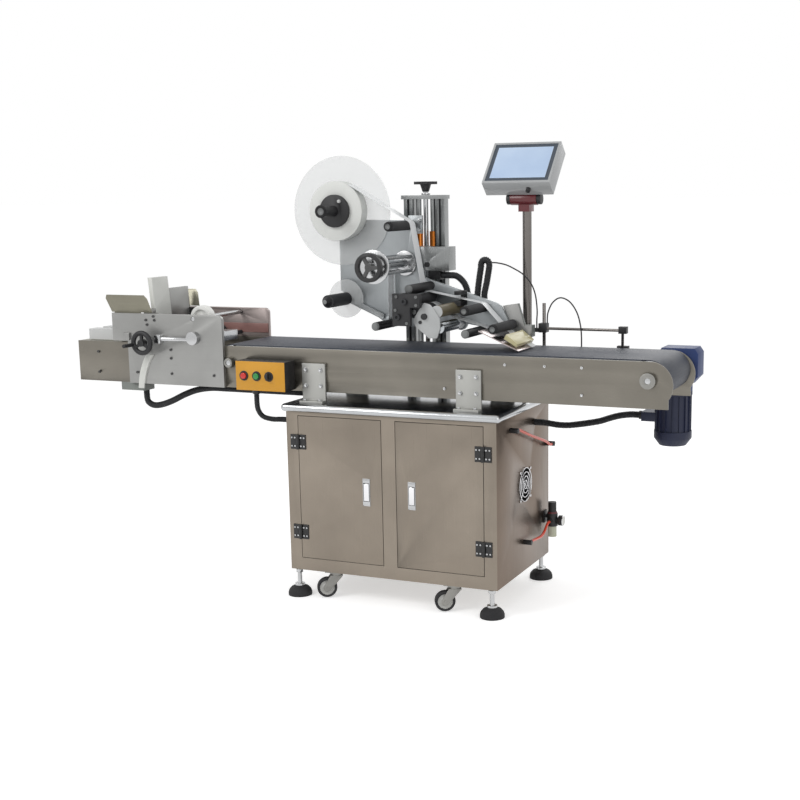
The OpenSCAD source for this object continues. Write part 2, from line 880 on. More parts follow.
// Filter regulator on the side panel: body, knob, gauge, bowl, bracket; and push-in fittings
reg_r = 20;
fitting_r = 9;
elbow = 14;
elbow_in = 7;
fittings = [[130, 532, 1], [262, 107, 1], [511, 420, -1]];
module air_regulator() {
  color(black) {
    bar_z(reg_x, reg_y, reg_z - reg_r * 1.1, reg_z + reg_r * 1.3, reg_r);
    bar_z(reg_x, reg_y, reg_z + reg_r * 1.6, reg_z + reg_r * 3.4, reg_r * 0.75);
    bar_x(reg_x, reg_x + reg_r * 1.7, reg_y, reg_z, reg_r * 0.45);
    bar_x(reg_x + reg_r * 1.3, reg_x + reg_r * 2.1, reg_y, reg_z, reg_r * 0.95);
    block(cab_right, reg_x, reg_y - reg_r * 0.3, reg_y + reg_r * 0.3, reg_z + reg_r * 0.4, reg_z + reg_r);
    block(cab_right, cab_right + 2 * sheet, reg_y - reg_r * 0.8, reg_y + reg_r * 0.8,
      reg_z - reg_r / 2, reg_z + reg_r * 1.7);
    for (f = fittings) {
      bar_x(cab_right, reg_x, cab_front + f[0], cab_z + f[1], fitting_r);
      bar_y([reg_x - elbow_in, cab_z + f[1]], cab_front + min(f[0], f[0] + f[2] * elbow),
        cab_front + max(f[0], f[0] + f[2] * elbow), fitting_r * 0.72);
    }
    bar_y([reg_x, reg_z], reg_y - reg_r * 1.7, reg_y - reg_r * 0.75, reg_r * 0.4);
  }
  color([0.5, 0.08, 0.12])
    bar_z(reg_x, reg_y, reg_z + reg_r * 1.3, reg_z + reg_r * 1.6, reg_r * 0.9);
  color([0.8, 0.8, 0.65])
    bar_z(reg_x, reg_y, reg_z - reg_r * 3.1, reg_z - reg_r * 1.1, reg_r * 0.8);
  color(bright)
    bar_x(reg_x + reg_r * 2.1, reg_x + reg_r * 2.2, reg_y, reg_z, reg_r * 0.85);
}

// Inside the cabinet: back plate with rails, controller, power supply, drive and terminals.
// Each entry is left, right, bottom and top, as shares of the cabinet's width and height.
panel_shares = [-0.375, 0.325, 0.155, 0.865];
wire_rail_shares = [[-0.35, 0.3, 0.312, 0.372], [-0.35, 0.3, 0.606, 0.666]];
device_shares = [[-0.325, -0.15, 0.26, 0.432], [-0.125, 0.0125, 0.242, 0.45], [-0.3125, -0.075, 0.554, 0.718]];
relay_shares = [-0.0375, 0.045, 0.0425, 0.562, 0.709];
terminal_shares = [0.05, 0.01625, 0.015, 0.285, 0.398];
panel_t = 4;
wire_rail_t = 8;
device_d = 84;
module on_panel(s, y0, y1) {
  block(cab_x + s[0] * cab_w, cab_x + s[1] * cab_w, y0, y1, cab_z + s[2] * cab_h, cab_z + s[3] * cab_h);
}

module electrical_panel() {
  back = cab_back - sheet;
  face = back - panel_t;
  color(bright)
    on_panel(panel_shares, face, back);
  color(white)
    for (s = wire_rail_shares)
      on_panel(s, face - wire_rail_t, face);
  color(black)
    for (s = device_shares)
      on_panel(s, face - wire_rail_t - device_d, face - wire_rail_t);
  color(white) {
    for (k = [0 : 4], s = [relay_shares])
      on_panel([s[0] + k * s[1], s[0] + k * s[1] + s[2], s[3], s[4]],
        face - wire_rail_t - device_d * 0.75, face - wire_rail_t);
    for (k = [0 : 13], s = [terminal_shares])
      on_panel([s[0] + k * s[1], s[0] + k * s[1] + s[2], s[3], s[4]],
        face - wire_rail_t - device_d * 0.57, face - wire_rail_t);
  }
}

// Side rails with a rounded outfeed end, stepped back below, and a slot for the take-up bearing
rail_end_wall = 12;
module rail(y0) {
  end_r = roller_r + belt_t + rail_end_wall;
  difference() {
    upright(y0, y0 + rail_t)
      difference() {
        union() {
          translate([rail_left, rail_z])
            square([rail_right - end_r - rail_left, rail_h]);
          intersection() {
            translate([rail_right - end_r, rail_z + rail_h / 2])
              circle(r = end_r, $fn = 96);
            translate([rail_right - end_r - cut, rail_z])
              square([end_r + 2 * cut, rail_h]);
          }
          translate([rail_right - end_r - cut, rail_z])
            square([end_r * 0.82, rail_h / 2]);
        }
        translate([drive_x - slot_len / 2, axis_z - bearing_r * 0.55])
          square([slot_len, bearing_r * 1.1]);
      }
    bar_y([tail_x, axis_z], y0 - cut, y0 + rail_t + cut, shaft_r + side_gap);
  }
}

module front_rail() { color(steel) rail(rail_front); }
module rear_rail() { color(steel) rail(rail_back - rail_t); }

// Sheet bed under the belt, with two returned edges and cross members
module slider_bed() {
  color(bright) {
    difference() {
      block(bed_left, bed_right, conv_y - inner_w / 2, conv_y + inner_w / 2, bed_z - bed_lip,
        bed_z + bed_t);
      block(bed_left - cut, bed_right + cut, conv_y - inner_w / 2 + bed_t, conv_y + inner_w / 2 - bed_t,
        bed_z - bed_lip - cut, bed_z);
    }
    for (s = cross_share)
      translate([bed_left + s * (bed_right - bed_left) - cross_w / 2, conv_y - inner_w / 2,
        bed_z - bed_lip - cross_h])
        cube([cross_w, inner_w, cross_h]);
  }
}

module conveyor_belt() {
  outer = roller_r + belt_t;
  color([0.13, 0.15, 0.2])
    upright(conv_y - belt_w / 2, conv_y + belt_w / 2)
      difference() {
        union() {
          translate([tail_x, axis_z - outer])
            square([drive_x - tail_x, 2 * outer]);
          for (x = [tail_x, drive_x])
            translate([x, axis_z])
              circle(r = outer, $fn = 96);
        }
        translate([tail_x, axis_z - roller_r - near_gap / 2])
          square([drive_x - tail_x, 2 * roller_r + near_gap / 2]);
        for (x = [tail_x, drive_x])
          translate([x, axis_z])
            circle(r = roller_r + near_gap / 2, $fn = 96);
      }
}

// Each roller turns with its shaft in bearings on the rails
module roller_bearings() {
  color(steel)
    for (x = [tail_x, drive_x])
      for (side = [-1, 1]) {
        face = (side < 0) ? rail_front : rail_back;
        flange_r = (x == tail_x) ? bearing_r * 0.65 : bearing_r;
        ends = [face, face + side * bearing_h, face - side * rail_t];
        difference() {
          union() {
            bar_y([x, axis_z], min(ends[0], ends[1]), max(ends[0], ends[1]), flange_r);
            bar_y([x, axis_z], min(ends[0], ends[2]), max(ends[0], ends[2]), shaft_r);
          }
          bar_y([x, axis_z], min(ends) - cut, max(ends) + cut, shaft_r * 0.8 + run_fit);
        }
      }
}

roller_over = 2;
module end_roller(x) {
  half = belt_w / 2 + roller_over;
  color(bright) {
    bar_y([x, axis_z], conv_y - half, conv_y + half, roller_r);
    bar_y([x, axis_z], rail_front + rail_t + side_gap, rail_back - rail_t - side_gap, shaft_r);
    bar_y([x, axis_z], rail_front - bearing_h * 0.85, rail_back + bearing_h * 0.85, shaft_r * 0.8);
  }
}

module drive_roller() {
  end_roller(drive_x);
  color(bright)
    bar_y([drive_x, axis_z], rail_back, gear_y + gear_d / 3, shaft_r * 0.8);
}
module tail_roller() { end_roller(tail_x); }

// Angle brackets that carry the conveyor on the table
module support_brackets() {
  color(alu)
    for (x = bracket_xs) {
      for (s = [-1, 1]) {
        face = (s < 0) ? rail_front : rail_back;
        out = face + s * bracket_t;
        foot = face + s * (bracket_t + bracket_foot);
        if (s < 0 || x < lift_x - lift_w / 2 - bracket_w || x > lift_x + lift_w / 2) {
          block(x - bracket_w / 2, x + bracket_w / 2, min(face, out), max(face, out),
            table_top_z, rail_z + bracket_up);
          block(x - bracket_w / 2, x + bracket_w / 2, min(out, foot), max(out, foot),
            table_top_z, table_top_z + bracket_t);
        }
      }
    }
}

// Screws: bracket screws, rail screws and feeder screws, placed as shares of what they hold
bracket_screw_shares = [[-0.32, 0.235], [0.32, 0.235], [-0.32, 0.784], [0.32, 0.784]];
rail_screw_shares = [
  [0.755, 0.816], [0.815, 0.816], [0.87, 0.816], [0.04, 0.224], [0.66, 0.224], [0.87, 0.224], [0.04, 0.737]
];
plate_screw_shares = [
  [0.09, 0.16], [0.12, 0.44], [0.46, 0.16], [0.46, 0.38], [0.46, 0.5], [0.9, 0.16],
  [0.21, 0.91], [0.3, 0.91], [0.22, 0.845], [0.29, 0.965]
];
module screw_front(x, z, y, r) {
  bar_y([x, z], y - r * 0.8, y, r);
}

module machine_screws() {
  color(bright) {
    for (x = bracket_xs, s = bracket_screw_shares)
      screw_front(x + s[0] * bracket_w, rail_z + s[1] * bracket_up, rail_front - bracket_t, big_screw_r);
    for (x = bracket_xs, s = [-0.32, 0.32])
      bar_z(x + s * bracket_w, rail_front - bracket_t - bracket_foot * 0.55,
        table_top_z + bracket_t, table_top_z + bracket_t + screw_r, big_screw_r);
    for (s = rail_screw_shares)
      screw_front(rail_left + s[0] * rail_len, rail_z + s[1] * rail_h, rail_front, screw_r);
    for (s = plate_screw_shares)
      screw_front(fd_low_left + s[0] * (fd_right - fd_low_left), fd_low + s[1] * (fd_top - fd_low),
        fd_front, screw_r);
  }
}

// Right-angle gear unit with the motor hanging below it
gear_shares = [[0, 0], [0.8, 0], [1, 0.24], [1, 0.86], [0.91, 1], [0.09, 1], [0, 0.86]];
gear_boss_r = 40;
gear_boss_h = 6;
gear_bolt_shares = [[-0.22, 0.19], [0.22, 0.19], [-0.22, -0.24], [0.22, -0.24]];
module gearbox() {
  color([0.16, 0.22, 0.4])
    difference() {
      union() {
        upright(gear_y, gear_y + gear_d)
          translate([gear_left, gear_z])
            polygon([for (s = gear_shares) [s[0] * gear_w, s[1] * gear_h]]);
        bar_z(motor_x, motor_y, gear_z - flange_h, gear_z, motor_r);
        bar_y([drive_x, axis_z], gear_y - gear_boss_h, gear_y, gear_boss_r);
        bar_y([drive_x, axis_z], gear_y + gear_d, gear_y + gear_d + gear_boss_h, gear_boss_r * 0.85);
      }
      bar_y([drive_x, axis_z], gear_y - gear_boss_h - cut, gear_y + gear_d / 2, shaft_r * 0.8 + run_fit);
    }
  color(steel)
    for (s = gear_bolt_shares)
      bar_y([drive_x + s[0] * gear_w, axis_z + s[1] * gear_h], rail_back, gear_y, screw_r);
}

fins = 16;
fin_t = 3;
cover_h = 50;
motor_ring_h = 14;
gland_r = 15;
gland_len = 14;
term_out = 105;
term_in = 51;
term_h = 32;
term_drop = 93;
module drive_motor() {
  low = motor_top - motor_h;
  color(navy) {
    bar_z(motor_x, motor_y, low + cover_h, motor_top, motor_r * 0.9);
    for (k = [0 : fins - 1])
      translate([motor_x, motor_y, low + cover_h])
        rotate([0, 0, (k + 0.5) * 360 / fins])
          translate([motor_r * 0.85, -fin_t / 2, 0])
            cube([motor_r * 0.12, fin_t, motor_h - cover_h - motor_ring_h]);
    translate([motor_x, motor_y, low])
      rotate_extrude()
        polygon([[0, 0], [motor_r * 0.72, 0], [motor_r, cover_h / 2], [motor_r, cover_h], [0, cover_h]]);
    bar_z(motor_x, motor_y, motor_top - motor_ring_h, motor_top, motor_r);
    block(motor_x - term_out, motor_x - term_in, motor_y - term_h, motor_y + term_h,
      motor_top - term_drop - term_h / 2, motor_top - term_drop + term_h / 2);
  }
  color(black)
    bar_x(motor_x - term_out - gland_len, motor_x - term_out, motor_y, motor_top - term_drop, gland_r);
}

// Feeder side plates
module feeder_outline() {
  low = belt_z + fd_above;
  translate([fd_low_left, fd_low])
    square([fd_right - fd_low_left, fd_top - fd_low - fd_round]);
  translate([fd_left, low])
    square([feeder_len - fd_round, fd_top - low]);
  translate([fd_right - fd_round, fd_top - fd_round])
    circle(r = fd_round);
  translate([fd_right - fd_round, low])
    square([fd_round, fd_top - low - fd_round]);
}

// The front plate carries the hand shaft's stop collar, a tie bar with its boss and a curved strip
boss_r = 24;
boss_in = 366;
boss_up = 22;
strip_r = 265;
strip_w = 26;
strip_t = 8;
strip_shares = [4.59, -4.13];
strip_z_share = 0.1118;
rack_wall = 10;
under_out = 50;
under_w = 106;
under_d = 60;
under_h = 30;
module feeder_front_plate() {
  boss_x = fd_left + boss_in;
  bar_z0 = belt_z + boss_up;
  color(alu) {
    difference() {
      upright(fd_front, rail_front)
        feeder_outline();
      bar_y([hand_x, hand_z], fd_front - cut, rail_front + cut, hand_shaft_r + run_fit);
      bar_y([press_x, press_z], fd_front - cut, rail_front + cut, fd_shaft_r);
    }
    bar_y([boss_x, bar_z0], fd_front - boss_r, fd_front, boss_r);
    bar_x(hand_x + 1.3 * hand_r, boss_x, fd_front - boss_r * 0.6, bar_z0 - boss_r / 4, boss_r / 3);
    block(hand_x + 0.9 * hand_r, hand_x + 1.45 * hand_r, fd_front - boss_r * 1.1, fd_front,
      bar_z0 - boss_r * 0.9, bar_z0 + boss_r / 3);
    block(fd_low_left - feeder_t, fd_low_left + feeder_t, fd_front - rack_wall, fd_front,
      belt_z + boss_r / 4, belt_z + boss_r * 1.4);
    difference() {
      block(rack_x - rack_wall, rack_x + rack_w + rack_wall, rail_front, rack_y + rack_wall,
        fd_top - 0.7 * feeder_rise, fd_top - rack_wall);
      block(rack_x - near_gap, rack_x + rack_w + near_gap, rack_y - near_gap, rack_y + 2 * rack_d,
        fd_top - 0.7 * feeder_rise - cut, fd_top - rack_wall + cut);
    }
  }
  color(white)
    upright(fd_front - strip_t, fd_front)
      intersection() {
        translate([hand_x + strip_shares[0] * hand_r, hand_z + strip_shares[1] * hand_r])
          difference() {
            circle(r = strip_r, $fn = 96);
            circle(r = strip_r - strip_w, $fn = 96);
          }
        translate([fd_low_left, fd_low - strip_z_share * rail_h])
          square([strip_r / 2, 0.48 * strip_r]);
      }
  color([0.25, 0.3, 0.28])
    block(fd_low_left - under_out, fd_low_left - under_out + under_w, rail_front,
      rail_front + under_d, fd_low - under_h, fd_low);
}

band_t = 3;
band_len = 202;
band_up = 12;
band_h = 34;
module feeder_rear_plate() {
  color([0.68, 0.62, 0.6])
    difference() {
      upright(rail_back, fd_back)
        feeder_outline();
      bar_y([press_x, press_z], rail_back - cut, fd_back + cut, fd_shaft_r);
    }
  color([0.5, 0.36, 0.33])
    block(fd_right - band_t - band_len, fd_right - band_t, rail_back - band_t, rail_back,
      belt_z + band_up, belt_z + band_up + band_h);
}

// Feeder belts on two shafts, a pull-out roller below the press wheel, and the sheet slide after it
slide_shares = [-0.186, -0.0745];
slide_off = 147;
module feed_belts() {
  x0 = fd_axis_xs[0];
  x1 = fd_axis_xs[1];
  color(steel) {
    for (x = [x0, x1, press_x])
      bar_y([x, fd_axis_z], rail_front, rail_back - ((x == x0) ? 0 : band_t), fd_shaft_r);
    difference() {
      block(fd_right + slide_shares[0] * feeder_len, fd_right + slide_shares[1] * feeder_len,
        rail_front, rail_front + slide_off, belt_z + rod_r, belt_z + rod_r + band_h);
      block(fd_right + slide_shares[0] * feeder_len - cut, fd_right + slide_shares[1] * feeder_len
        - band_t, rail_front - cut, rail_front + slide_off + cut, belt_z, belt_z + rod_r + band_h
        - band_t);
    }
  }
  color(black)
    bar_y([press_x, fd_axis_z], press_y - press_w, press_y + press_w, fd_tail_r + fd_belt_t);
  for (k = [-1.5, -0.5, 0.5, 1.5]) {
    y = conv_y + k * (fd_belt_w + fd_belt_gap);
    color(black)
      upright(y - fd_belt_w / 2, y + fd_belt_w / 2)
        difference() {
          union() {
            translate([x0, fd_axis_z - fd_tail_r - fd_belt_t])
              square([x1 - x0, 2 * (fd_tail_r + fd_belt_t)]);
            for (x = [x0, x1])
              translate([x, fd_axis_z])
                circle(r = fd_tail_r + fd_belt_t);
          }
          translate([x0, fd_axis_z - fd_tail_r])
            square([x1 - x0, 2 * fd_tail_r]);
        }
    color(bright)
      for (x = [x0, x1])
        bar_y([x, fd_axis_z], y - fd_belt_w / 2, y + fd_belt_w / 2, fd_tail_r);
  }
}

// Magazine guides and the sloping infeed shelf
guide_t = 3;
guide_lean = 12;
guide_h = 66;
guide_shares = [[0.008, 0], [0.381, 0], [0.356, 0.79], [0.331, 1], [-0.017, 1], [-0.029, 0.79]];
shelf_h = 40;
shelf_len = 150;
shelf_pitch = 85;
shelf_w = 50;
shelf_gap = 8;
module side_guide(inner, side) {
  y0 = min(inner, inner + side * guide_t);
  translate([fd_left - 4 * guide_t, inner, fd_top + guide_t])
    rotate([-guide_lean * side, 0, 0])
      upright(min(0, side * guide_t), max(0, side * guide_t))
        polygon([for (s = guide_shares) [s[0] * feeder_len, s[1] * guide_h]]);
  block(fd_left + guide_t, fd_left + feeder_len / 4, y0, y0 + guide_t,
    belt_z + 0.66 * feeder_rise, fd_top + 2 * guide_t);
}

module hopper_guides() {
  color(steel) {
    side_guide(rail_front + guide_t, -1);
    side_guide(rail_back - guide_t, 1);
  }
  color(white)
    for (k = [-1, 0, 1])
      block(fd_left - shelf_gap - shelf_len, fd_left - shelf_gap, conv_y + k * shelf_pitch
        - shelf_w / 2, conv_y + k * shelf_pitch + shelf_w / 2, rail_top, rail_top + shelf_h);
  color(alu)
    block(rail_left + rail_t, fd_left + shelf_h / 2, rail_front + rail_t, rail_back - rail_t,
      rail_top - rail_t, rail_top);
}

// Gate: sloping front wall of the magazine, with retard wheels and a rack on its guide block
gate_low_gap = 20;
gate_wheel_r = 20;
gate_rod_r = 7;
gate_out = 40;
wheel_pitch = 34;
gate_off = 60;
gate_panel = 102;
gate_step = 46;
module feeder_gate() {
  low = fd_belt_top + near_gap + gate_low_gap;
  y0 = rail_front + gate_gap;
  y1 = rail_back - gate_gap;
  foot = low + gate_rod_r;
  gate_y = rail_front + gate_off;
  color(white)
    translate([gate_x, 0, 0])
      upright(gate_y, gate_y + gate_panel)
        polygon([[0, foot], [gate_t, foot], [gate_t / 4, gate_top], [-gate_t * 0.9, gate_top]]);
  color(alu) {
    translate([gate_x, 0, 0])
      upright(gate_y + gate_panel, y1)
        polygon([[0, foot], [gate_t, foot], [gate_t / 2, gate_top - gate_step],
          [-gate_t * 0.4, gate_top - gate_step]]);
    bar_y([gate_x + gate_out, low], y0 + gate_rod_r, y1 - gate_rod_r, gate_rod_r);
    for (y = [y0, y1 - gate_rod_r])
      block(gate_x + gate_rod_r, gate_x + gate_out + gate_rod_r, y, y + gate_rod_r,
        low - gate_rod_r, low + gate_wheel_r * 2);
    block(rack_x, rack_x + rack_w, rack_y, rack_y + rack_d, hand_z - hand_r, low + gate_wheel_r * 2.7);
    block(gate_x, gate_x + gate_t, rack_y, gate_y, low + gate_wheel_r * 1.7, low + gate_wheel_r * 2.7);
  }
  for (k = [0 : 3])
    color((k % 2 == 0) ? black : white)
      bar_y([gate_x + gate_out, low], conv_y + (k - 1.8) * wheel_pitch,
        conv_y + (k - 1.2) * wheel_pitch, gate_wheel_r);
}

grip_r = 7;
grip_h = 60;
module feeder_handwheel() {
  y_end = rack_y + rack_d;
  hub_h = hand_r / 3;
  color(black) {
    translate([hand_x, hand_y, hand_z]) {
      rotate([90, 0, 0])
        rotate_extrude($fn = 72)
          translate([hand_r - hand_rim, 0])
            circle(r = hand_rim, $fn = 24);
      for (a = [30, 150, 270])
        rotate([0, a, 0])
          translate([0, -hand_rim / 2, -hand_rim * 0.6])
            cube([hand_r - hand_rim, hand_rim, hand_rim * 1.2]);
    }
    bar_y([hand_x, hand_z], hand_y - hand_rim, hand_y + hub_h, hub_h * 0.85);
    bar_y([hand_x - hand_r + hand_rim, hand_z - grip_r], hand_y - grip_h, hand_y, grip_r);
  }
  color(bright) {
    bar_y([hand_x, hand_z], hand_y + hub_h, y_end, hand_shaft_r);
    bar_y([hand_x, hand_z], rack_y, y_end, pinion_r - cut);
    bar_y([hand_x, hand_z], fd_front - 2 * screw_r, fd_front - side_gap, 2 * hand_shaft_r);
  }
}

// Press wheel that carries the product off the belts
module press_wheel() {
  dish = press_w / 5;
  color(white)
    difference() {
      bar_y([press_x, press_z], press_y - press_w / 2, press_y + press_w / 2, press_r);
      bar_y([press_x, press_z], press_y - press_w / 2 - cut, press_y - press_w / 2 + dish, press_r * 0.65);
      bar_y([press_x, press_z], press_y + press_w / 2 - dish, press_y + press_w / 2 + cut, press_r * 0.65);
    }
  color(bright)
    bar_y([press_x, press_z], fd_front + rack_gap, fd_back - rack_gap, fd_shaft_r - run_fit);
}

// Push-button box with its black base and yellow cover
bezel_r = 17;
bezel_h = 4;
button_in = 16;
box_split_share = 0.55;
gland_share = 0.31;
module control_box() {
  x1 = box_x + box_w;
  split = rail_front - box_d * box_split_share;
  color(black)
    block(box_x, x1, split, rail_front, box_z, box_z + box_h);
  color([0.95, 0.65, 0.05])
    difference() {
      block(box_x, x1, box_front, split, box_z, box_z + box_h);
      for (s = button_share)
        bar_y([box_x + s * box_w, box_mid], box_front - cut, box_front + 1.5 * button_in,
          button_r + side_gap);
    }
  color(black) {
    for (s = button_share)
      difference() {
        bar_y([box_x + s * box_w, box_mid], box_front - bezel_h, box_front, bezel_r);
        bar_y([box_x + s * box_w, box_mid], box_front - bezel_h - cut, box_front + cut,
          button_r + side_gap);
      }
    bar_z(box_x + gland_share * box_w, box_front + box_d * 0.472, box_z - button_in, box_z, gland_r - cut);
  }
}

module button_at(i, head) {
  at = [box_x + button_share[i] * box_w, box_mid];
  bar_y(at, box_front - head, box_front + button_in, button_r);
}

module red_button() { color([0.85, 0.08, 0.06]) button_at(0, button_h); }
module green_button() { color([0.1, 0.55, 0.15]) button_at(1, button_h); }
module selector_knob() {
  x = box_x + button_share[2] * box_w;
  head = button_h * 0.7;
  color(black) {
    button_at(2, head);
    block(x - bezel_h, x + bezel_h, box_front - 2 * button_h, box_front - head,
      box_mid - button_r, box_mid + button_r);
  }
}

// Lift: two columns, two guide rods, top plate and foot
groove = 8;
lift_foot = 20;
module lift_frame() {
  x0 = lift_x - lift_w / 2;
  x1 = lift_x + lift_w / 2;
  y0 = lift_y - column / 2;
  y1 = lift_y + column / 2;
  foot_z = table_top_z + lift_plate_t;
  under = lift_top_z - lift_plate_t;
  color(alu) {
    for (x = [x0, x1 - column])
      difference() {
        block(x, x + column, y0, y1, foot_z, under);
        for (y = [y0 - cut, y1 - groove])
          block(x + column / 2 - groove / 2, x + column / 2 + groove / 2, y, y + groove + cut,
            foot_z - cut, under + cut);
      }
    difference() {
      block(x0 - bush_wall, x1 + bush_wall, y0 - lift_plate_t, y1 + bush_wall, under, lift_top_z);
      bar_z(lift_x, lift_y, under - cut, lift_top_z + cut, lift_screw_r + run_fit);
    }
    block(x0 - lift_foot, x1 + lift_foot, y0 + cut, y1 + lift_foot, table_top_z, foot_z);
    difference() {
      block(x0 + column, x1 - column, y0 + bush_wall, y1 - bush_wall, lift_cross_z,
        lift_cross_z + lift_cross_h);
      bar_z(lift_x, lift_y, lift_cross_z + bush_wall, lift_cross_z + lift_cross_h + cut,
        lift_screw_r + run_fit);
    }
  }
  color(bright)
    for (s = [-1, 1])
      bar_z(lift_x + s * guide_rod_in, lift_y, lift_cross_z + lift_cross_h, under, guide_rod_r);
}

lobes = 8;
lobe_r = 9;
collar_h = 8;
cone_h = 26;
knob_h = 10;
module lift_screw() {
  color(bright) {
    bar_z(lift_x, lift_y, lift_cross_z + bush_wall + near_gap, lift_knob_z, lift_screw_r);
    bar_z(lift_x, lift_y, lift_top_z + side_gap, lift_top_z + collar_h, lift_screw_r * 1.8);
  }
  color(black) {
    translate([lift_x, lift_y, lift_knob_z - cone_h])
      cylinder(r1 = lift_hand_r * 0.28, r2 = lift_hand_r * 0.48, h = cone_h);
    translate([lift_x, lift_y, lift_knob_z])
      difference() {
        cylinder(r = lift_hand_r, h = knob_h);
        for (k = [0 : lobes - 1])
          rotate([0, 0, k * 360 / lobes])
            translate([lift_hand_r + rib_h, 0, -cut])
              cylinder(r = lobe_r, h = knob_h + 2 * cut);
      }
  }
}

// Carriage: block with bushes on the guide rods and the nut on the screw
exit_left = 40;
exit_w = 45;
exit_h = 32;
exit_y = 38;
exit_half = 18;
lock_r = 9;
module head_carriage() {
  z1 = carriage_z + carriage_h;
  neck = guide_rod_in + guide_rod_r + bush_wall;
  front = lift_y - column / 2 - bush_wall;
  color(alu)
    difference() {
      union() {
        block(lift_x - carriage_left, lift_x + carriage_right, plate_back, front, carriage_z, z1);
        block(lift_x - neck, lift_x + neck, front - cut, lift_y + column / 3, carriage_z, z1);
      }
      for (s = [-1, 1])
        bar_z(lift_x + s * guide_rod_in, lift_y, carriage_z - cut, z1 + cut, guide_rod_r + run_fit);
      bar_z(lift_x, lift_y, carriage_z - cut, z1 + cut, lift_screw_r + run_fit);
    }
  color([0.75, 0.5, 0.15])
    for (s = [-1, 1])
      difference() {
        bar_z(lift_x + s * guide_rod_in, lift_y, z1, z1 + bush_h, guide_rod_r + bush_wall);
        bar_z(lift_x + s * guide_rod_in, lift_y, z1 - cut, z1 + bush_h + cut, guide_rod_r + run_fit);
      }
  color(black) {
    block(lift_x + exit_left, lift_x + exit_left + exit_w, plate_y + exit_y - exit_half,
      plate_y + exit_y + exit_half, carriage_z - exit_h, carriage_z);
    bar_y([lift_x + exit_left, carriage_z + carriage_h / 4], plate_back - lock_r, plate_back, lock_r);
  }
}

module plate_outline() {
  polygon([for (s = plate_shares) on_plate(s)]);
  translate(spindle_at)
    circle(r = ear_r);
  translate(peel_at)
    circle(r = guide_r * 0.7);
  translate(silver_at)
    circle(r = silver_r * 1.37);
}

// Head plate with its spindle ear, fixed guide bars, side plate, clamp block, drum and sensor block
ear_r = 46;
side_gap_y = 2;
side_t = 6;
clamp_gap = 14;
clamp_t = 20;
clamp_rods = [[0.474, 0.405], [0.47, 0.23]];
side_rod_share = [0.599, 0.2157];
knob_shares = [[0.6092, 0.2389], [0.5862, 0.192]];
sensor_shares = [0.685, 0.72, 0.30, 0.42, 0.34, 0.39];
sensor_d = 60;
exit_d = 48;
exit_shares = [0.766, 0.8175, 0.2295, 0.3091];
stop_shares = [0.392, 0.47, 0.88, 1.03];
stop_t = 8;
module head_plate() {
  pins = [spindle_at, upper_at, outfeed_at, peel_at, feed_at, pinch_at, rewind_at, dancer_pivot_at];
  side_y = guide_front - side_gap_y;
  color(alu)
    difference() {
      upright(plate_y, plate_back)
        plate_outline();
      for (at = pins)
        bar_y(at, plate_y - cut, plate_back + cut, axle_pin_r + run_fit);
    }
  color(black) {
    for (at = [lower_at, below_at, turn_at])
      bar_y(at, guide_front, plate_y, bar_r);
    upright(guide_front - clamp_gap - clamp_t, guide_front - clamp_gap)
      polygon([for (s = clamp_shares) on_plate(s)]);
    for (s = clamp_rods)
      bar_y(on_plate(s), guide_front - clamp_gap, plate_y, rod_r);
    block(on_plate(exit_shares)[0], on_plate([exit_shares[1], 0])[0], plate_back, plate_back + exit_d,
      on_plate([0, exit_shares[2]])[1], on_plate([0, exit_shares[3]])[1]);
  }
  color(bright) {
    for (at = [lower_at, below_at, turn_at])
      bar_y(at, guide_front - cap_t, guide_front, guide_r * 0.7);
    bar_y(on_plate(side_rod_share), side_y, plate_y, rod_r);
    bar_y(silver_at, side_y, guide_front, rod_r);
    block(on_plate([stop_shares[0], 0])[0], on_plate([stop_shares[1], 0])[0], plate_back,
      plate_back + stop_t, on_plate([0, stop_shares[2]])[1], on_plate([0, stop_shares[3]])[1]);
    for (z = [0.91, 0.99])
      bar_y(on_plate([0.462, z]), plate_y - stop_t, plate_back, screw_r);
  }
  color([0.78, 0.8, 0.82])
    bar_y(silver_at, guide_front, plate_y, silver_r);
  color(white)
    upright(side_y - side_t, side_y)
      polygon([for (s = side_shares) on_plate(s)]);
  color([0.5, 0.45, 0.33])
    bar_y(drum_at, side_y, plate_y, fixed_drum_r);
  color(black) {
    bar_y(on_plate(knob_shares[0]), side_y - side_t - stop_t, side_y - side_t, lock_r * 1.2);
    bar_y(on_plate(knob_shares[1]), side_y - side_t - stop_t / 2, side_y - side_t, rod_r);
    difference() {
      block(on_plate([sensor_shares[0], 0])[0], on_plate([sensor_shares[1], 0])[0], plate_y - sensor_d,
        plate_y, on_plate([0, sensor_shares[2]])[1], on_plate([0, sensor_shares[3]])[1]);
      block(on_plate([sensor_shares[0], 0])[0] - cut, on_plate([sensor_shares[1], 0])[0] + cut,
        plate_y - sensor_d - cut, plate_y - web_in / 2, on_plate([0, sensor_shares[4]])[1],
        on_plate([0, sensor_shares[5]])[1]);
    }
  }
}

// Stepper motor behind the plate, on the driven label roller's axis
stepper_half = 30;
stepper_gap = 12;
stepper_len = 40;
spacer_r = 4;
lead_r = 2.5;
module stepper_motor() {
  y0 = plate_back + stepper_gap;
  corner = stepper_half * 0.8;
  color(black) {
    block(feed_at[0] - stepper_half, feed_at[0] + stepper_half, y0, y0 + stepper_len,
      feed_at[1] - stepper_half, feed_at[1] + stepper_half);
    bar_z(feed_at[0] + stepper_gap, y0 + stepper_len * 0.7, feed_at[1] + stepper_half,
      feed_at[1] + stepper_half * 1.5, lock_r);
    ribbed_tube(head_route, conduit_r, 8);
    swept_tube(lead_route, lead_r);
  }
  color(alu)
    for (dx = [-corner, corner])
      for (dz = [-corner, corner / 2])
        bar_y([feed_at[0] + dx, feed_at[1] + dz], plate_back, y0, spacer_r);
}

